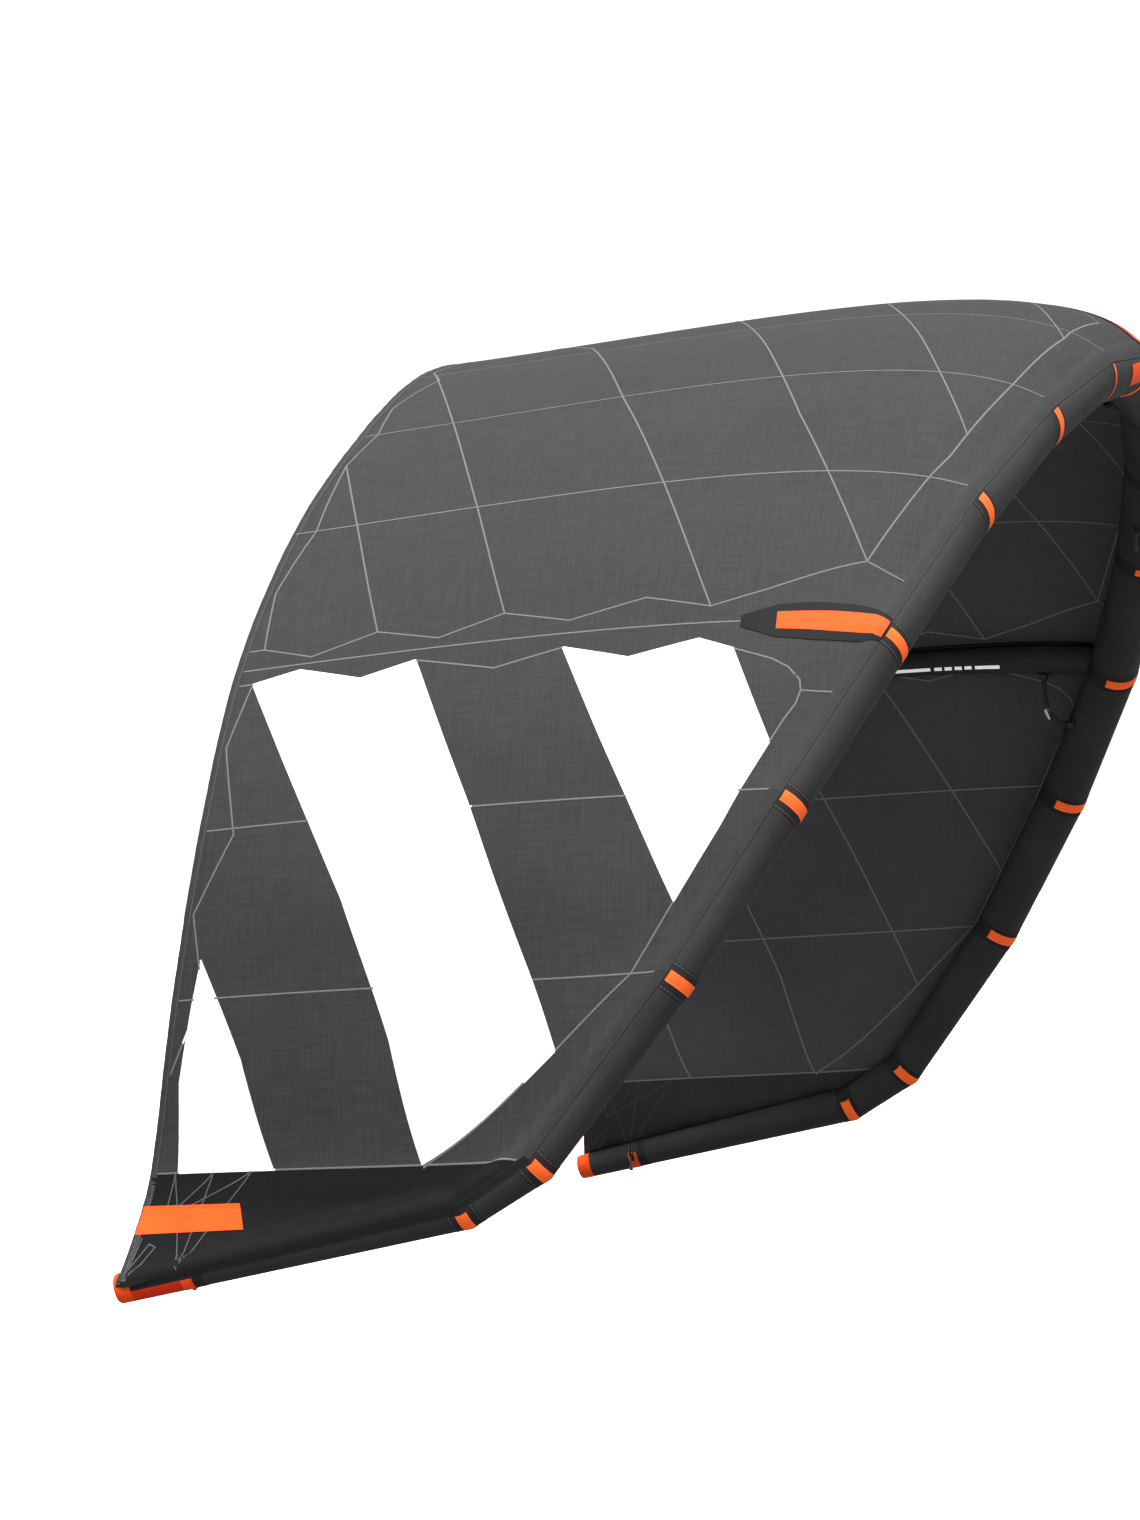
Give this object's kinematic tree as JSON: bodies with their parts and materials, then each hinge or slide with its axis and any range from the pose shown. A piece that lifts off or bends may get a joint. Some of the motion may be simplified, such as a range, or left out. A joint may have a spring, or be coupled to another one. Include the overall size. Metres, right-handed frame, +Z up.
{
  "type": "kitesurf kite",
  "caption": "Inflatable-leading-edge kitesurf kite: an arched segmented leading-edge tube, struts and a curved canopy, with pigtails for its lines.",
  "frame": {"origin": "on the axis of the leading-edge tube at the middle of the kite", "axes": "+X forwards to the leading edge, +Y to the left wing, +Z up towards the outer face of the canopy at the middle"},
  "size_m": [1.9172, 3.9852, 2.1255],
  "materials": {
    "sleeve": "dark grey Dacron polyester, satin, flat close weave",
    "canopy": "grey ripstop polyester, satin, with white colour-blocked panels",
    "strut": "black Dacron polyester, satin",
    "band": "bright orange reinforcement tape, satin",
    "tip_cover": "orange abrasion patch, matt",
    "bladder": "milky thermoplastic polyurethane film",
    "hose": "black silicone hose",
    "lever": "off-white moulded plastic",
    "valve": "black moulded plastic",
    "valve_cap": "black moulded plastic",
    "pigtail": "black braided line"
  },
  "bodies": {
    "kite": {"le_sleeve_left_1": "sleeve", "le_sleeve_left_2": "sleeve", "le_sleeve_left_3": "sleeve", "le_sleeve_left_4": "sleeve", "le_sleeve_left_5": "sleeve", "le_sleeve_left_6": "sleeve", "le_sleeve_left_7": "sleeve", "le_sleeve_left_8": "sleeve", "le_sleeve_left_9": "sleeve", "le_sleeve_right_1": "sleeve", "le_sleeve_right_2": "sleeve", "le_sleeve_right_3": "sleeve", "le_sleeve_right_4": "sleeve", "le_sleeve_right_5": "sleeve", "le_sleeve_right_6": "sleeve", "le_sleeve_right_7": "sleeve", "le_sleeve_right_8": "sleeve", "le_sleeve_right_9": "sleeve", "seam_band_centre": "band", "seam_band_left_2": "band", "seam_band_left_3": "band", "seam_band_left_4": "band", "seam_band_left_5": "band", "seam_band_left_6": "band", "seam_band_left_7": "band", "seam_band_left_8": "band", "tip_cover_left": "tip_cover", "seam_band_right_2": "band", "seam_band_right_3": "band", "seam_band_right_4": "band", "seam_band_right_5": "band", "seam_band_right_6": "band", "seam_band_right_7": "band", "seam_band_right_8": "band", "tip_cover_right": "tip_cover", "canopy_centre": "canopy", "canopy_left": "canopy", "canopy_right": "canopy", "strut_sleeve_centre": "strut", "strut_bladder_centre": "bladder", "hose_centre": "hose", "strut_sleeve_left": "strut", "strut_bladder_left": "bladder", "hose_left": "hose", "strut_sleeve_right": "strut", "strut_bladder_right": "bladder", "hose_right": "hose", "le_bladder": "bladder", "inflate_valve": "valve", "deflate_valve": "valve"},
    "hose_clip_centre": {"hose_clip_centre": "lever"},
    "hose_clip_left": {"hose_clip_left": "lever"},
    "hose_clip_right": {"hose_clip_right": "lever"},
    "inflate_valve_cap": {"inflate_valve_cap": "valve_cap"},
    "deflate_valve_cap": {"deflate_valve_cap": "valve_cap"},
    "front_pigtail_left": {"front_pigtail_left": "pigtail"},
    "rear_pigtail_left": {"rear_pigtail_left": "pigtail"},
    "front_pigtail_right": {"front_pigtail_right": "pigtail"},
    "rear_pigtail_right": {"rear_pigtail_right": "pigtail"}
  },
  "joints": [
    {"name": "hose_clip_centre_hinge", "type": "hinge", "parent": "kite", "child": "hose_clip_centre", "pos_m": [-0.12585, 0.09545, -0.02679], "axis": [0.032, 0.8624, 0.5053], "range_deg": [0, 70]},
    {"name": "hose_clip_left_hinge", "type": "hinge", "parent": "kite", "child": "hose_clip_left", "pos_m": [-0.46454, 1.55086, -0.75849], "axis": [-0.4691, 0.8577, -0.2105], "range_deg": [0, 70]},
    {"name": "hose_clip_right_hinge", "type": "hinge", "parent": "kite", "child": "hose_clip_right", "pos_m": [-0.46923, -1.55943, -0.76059], "axis": [0.4691, 0.8577, 0.2105], "range_deg": [0, 70]},
    {"name": "inflate_valve_cap_hinge", "type": "hinge", "parent": "kite", "child": "inflate_valve_cap", "pos_m": [-0.0618, 0.22804, -0.08499], "axis": [0.5237, -0.6102, -0.5944], "range_deg": [0, 110]},
    {"name": "deflate_valve_cap_hinge", "type": "hinge", "parent": "kite", "child": "deflate_valve_cap", "pos_m": [-0.83419, -1.84772, -1.51869], "axis": [-0.0148, 0.0849, -0.9963], "range_deg": [0, 110]},
    {"name": "front_pigtail_left_swing", "type": "hinge", "parent": "kite", "child": "front_pigtail_left", "pos_m": [-0.12971, 0.99854, -0.34115], "axis": [0, 1, 0], "range_deg": [-45, 45]},
    {"name": "front_pigtail_right_swing", "type": "hinge", "parent": "kite", "child": "front_pigtail_right", "pos_m": [-0.12971, -0.99854, -0.34115], "axis": [0, 1, 0], "range_deg": [-45, 45]},
    {"name": "rear_pigtail_left_swing", "type": "hinge", "parent": "kite", "child": "rear_pigtail_left", "pos_m": [-1.69163, 1.89678, -1.89164], "axis": [0, 1, 0], "range_deg": [-60, 60]},
    {"name": "rear_pigtail_right_swing", "type": "hinge", "parent": "kite", "child": "rear_pigtail_right", "pos_m": [-1.69163, -1.89678, -1.89164], "axis": [0, 1, 0], "range_deg": [-60, 60]}
  ]
}
